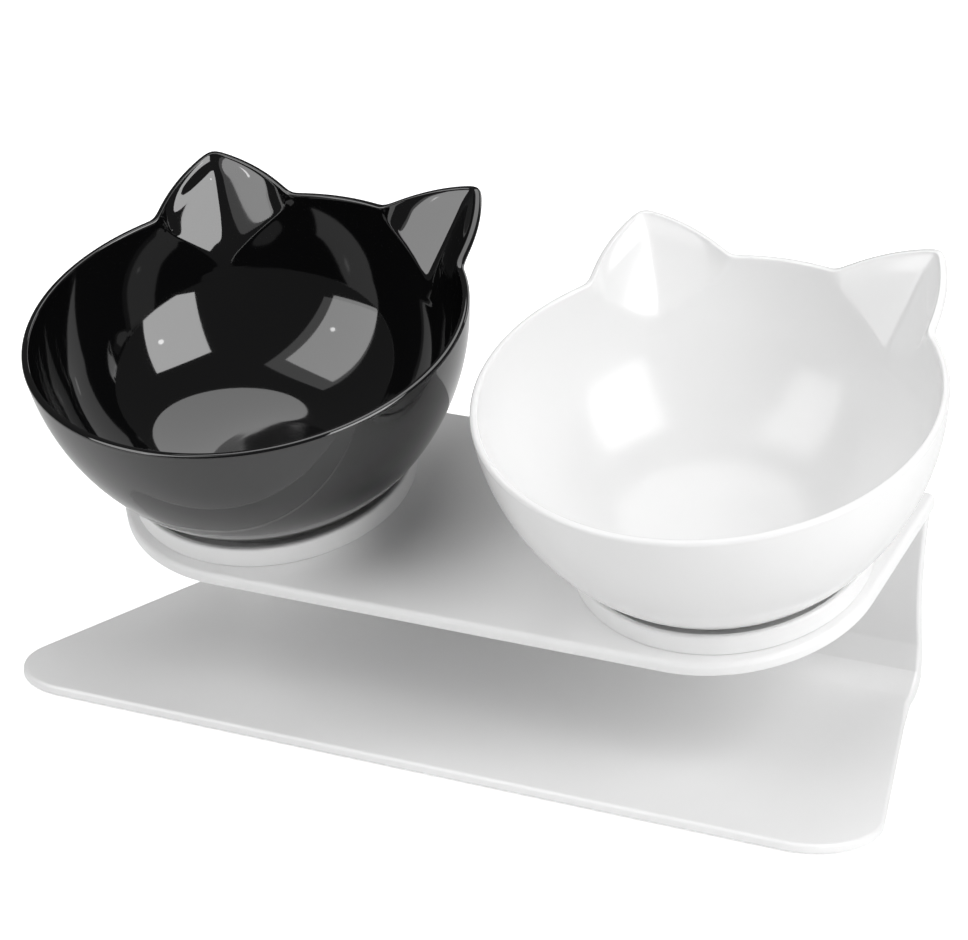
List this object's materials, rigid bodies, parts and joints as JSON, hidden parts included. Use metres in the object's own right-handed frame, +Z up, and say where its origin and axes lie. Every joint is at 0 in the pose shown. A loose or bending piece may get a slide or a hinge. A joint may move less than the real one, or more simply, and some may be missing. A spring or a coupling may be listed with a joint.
{
  "type": "double pet bowl",
  "caption": "Raised double pet bowl: two round bowls with pointed ears lift out of collared seats on a one-piece stand that leans them towards the pet.",
  "frame": {"origin": "on the floor under the middle of the object's box: half of its length and half of its depth, at the underside of the anti-slip pads", "axes": "+X along the stand from the black bowl to the white bowl, +Y from the open front to the back wall, +Z up"},
  "size_m": [0.282, 0.1491, 0.1487],
  "materials": {
    "stand_plastic": "satin white moulded plastic",
    "seat_plastic": "semi-gloss white moulded plastic",
    "screw_steel": "zinc-plated steel",
    "pad_rubber": "matt grey anti-slip rubber",
    "black_plastic": "polished black moulded plastic",
    "white_plastic": "polished white moulded plastic"
  },
  "bodies": {
    "stand_body": {"stand": "stand_plastic", "seat_left": "seat_plastic", "seat_right": "seat_plastic", "seat_screws_left": "screw_steel", "seat_screws_right": "screw_steel", "pad_front_left": "pad_rubber", "pad_front_right": "pad_rubber", "pad_rear_left": "pad_rubber", "pad_rear_right": "pad_rubber"},
    "black_bowl_body": {"black_bowl": "black_plastic"},
    "white_bowl_body": {"white_bowl": "white_plastic"}
  },
  "joints": [
    {"name": "black_bowl_lift", "type": "slide", "parent": "stand_body", "child": "black_bowl_body", "axis": [0, -0.3486, 0.9373], "range_m": [0, 0.06]},
    {"name": "white_bowl_lift", "type": "slide", "parent": "stand_body", "child": "white_bowl_body", "axis": [0, -0.3486, 0.9373], "range_m": [0, 0.06]}
  ]
}
